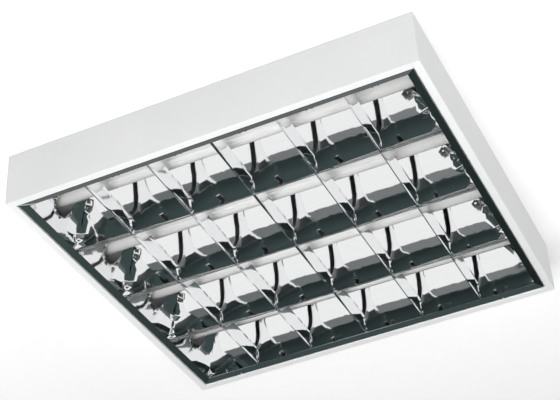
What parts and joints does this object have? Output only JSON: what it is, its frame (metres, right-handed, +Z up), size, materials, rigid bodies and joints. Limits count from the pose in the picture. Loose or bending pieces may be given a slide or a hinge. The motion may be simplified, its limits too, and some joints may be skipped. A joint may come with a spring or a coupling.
{
  "type": "louvred ceiling light",
  "caption": "Square ceiling light: white sheet-steel box with tubular lamps behind a bright parabolic louvre that hinges down.",
  "frame": {"origin": "middle of the face that meets the ceiling", "axes": "+Z up into the ceiling, +X along the lamps, +Y towards the louvre's hinge side"},
  "size_m": [0.62, 0.595, 0.087],
  "materials": {
    "white_paint": "satin",
    "zinc_steel": "satin",
    "bright_aluminium": "gloss",
    "lamp_glass": "gloss",
    "cap_aluminium": "satin",
    "brass": "satin",
    "white_plastic": "matte",
    "board_laminate": "matte",
    "black_rubber": "matte",
    "lead_white": "matte",
    "lead_brown": "matte",
    "lead_green": "matte"
  },
  "bodies": {
    "housing": {"ballast_base": "zinc_steel", "ballast_board": "board_laminate", "ballast_case": "zinc_steel", "ballast_terminals": "white_plastic", "cable_grommet": "black_rubber", "earth_lead": "lead_green", "end_plate_left": "white_paint", "end_plate_right": "white_paint", "end_plate_rivets": "zinc_steel", "gear_cover": "white_paint", "hinge_ears": "zinc_steel", "holder_contacts": "brass", "housing_body": "white_paint", "lamp_leads": "lead_white", "lampholder_bracket_left": "white_paint", "lampholder_bracket_right": "white_paint", "lampholders_left": "white_plastic", "lampholders_right": "white_plastic", "mains_leads": "lead_brown", "mains_terminal_block": "white_plastic", "stud_nuts": "zinc_steel", "terminal_screws": "zinc_steel", "weld_studs": "zinc_steel"},
    "louvre": {"catch_springs": "zinc_steel", "cross_blade_1": "bright_aluminium", "cross_blade_2": "bright_aluminium", "cross_blade_3": "bright_aluminium", "cross_blade_4": "bright_aluminium", "cross_blade_5": "bright_aluminium", "end_reflector_left": "bright_aluminium", "end_reflector_right": "bright_aluminium", "frame_strip_front": "bright_aluminium", "frame_strip_left": "bright_aluminium", "frame_strip_rear": "bright_aluminium", "frame_strip_right": "bright_aluminium", "hinge_lugs": "zinc_steel", "hinge_pins": "zinc_steel", "long_reflector_1": "bright_aluminium", "long_reflector_2": "bright_aluminium", "long_reflector_3": "bright_aluminium", "reflector_clips": "zinc_steel", "side_reflector_front": "bright_aluminium", "side_reflector_rear": "bright_aluminium"},
    "lamp_1": {"lamp_1_caps": "cap_aluminium", "lamp_1_pins": "brass", "lamp_1_rotors": "white_plastic", "lamp_1_tube": "lamp_glass"},
    "lamp_2": {"lamp_2_caps": "cap_aluminium", "lamp_2_pins": "brass", "lamp_2_rotors": "white_plastic", "lamp_2_tube": "lamp_glass"},
    "lamp_3": {"lamp_3_caps": "cap_aluminium", "lamp_3_pins": "brass", "lamp_3_rotors": "white_plastic", "lamp_3_tube": "lamp_glass"},
    "lamp_4": {"lamp_4_caps": "cap_aluminium", "lamp_4_pins": "brass", "lamp_4_rotors": "white_plastic", "lamp_4_tube": "lamp_glass"}
  },
  "joints": [
    {"name": "louvre_hinge", "type": "hinge", "parent": "housing", "child": "louvre", "pos_m": [0, 0.2829, -0.08309], "axis": [1, 0, 0], "range_deg": [0, 90]},
    {"name": "lamp_1_turn", "type": "hinge", "parent": "housing", "child": "lamp_1", "pos_m": [0, -0.2075, -0.028], "axis": [1, 0, 0], "range_deg": [0, 90]},
    {"name": "lamp_2_turn", "type": "hinge", "parent": "housing", "child": "lamp_2", "pos_m": [0, -0.071, -0.028], "axis": [1, 0, 0], "range_deg": [0, 90]},
    {"name": "lamp_3_turn", "type": "hinge", "parent": "housing", "child": "lamp_3", "pos_m": [0, 0.071, -0.028], "axis": [1, 0, 0], "range_deg": [0, 90]},
    {"name": "lamp_4_turn", "type": "hinge", "parent": "housing", "child": "lamp_4", "pos_m": [0, 0.2075, -0.028], "axis": [1, 0, 0], "range_deg": [0, 90]}
  ]
}
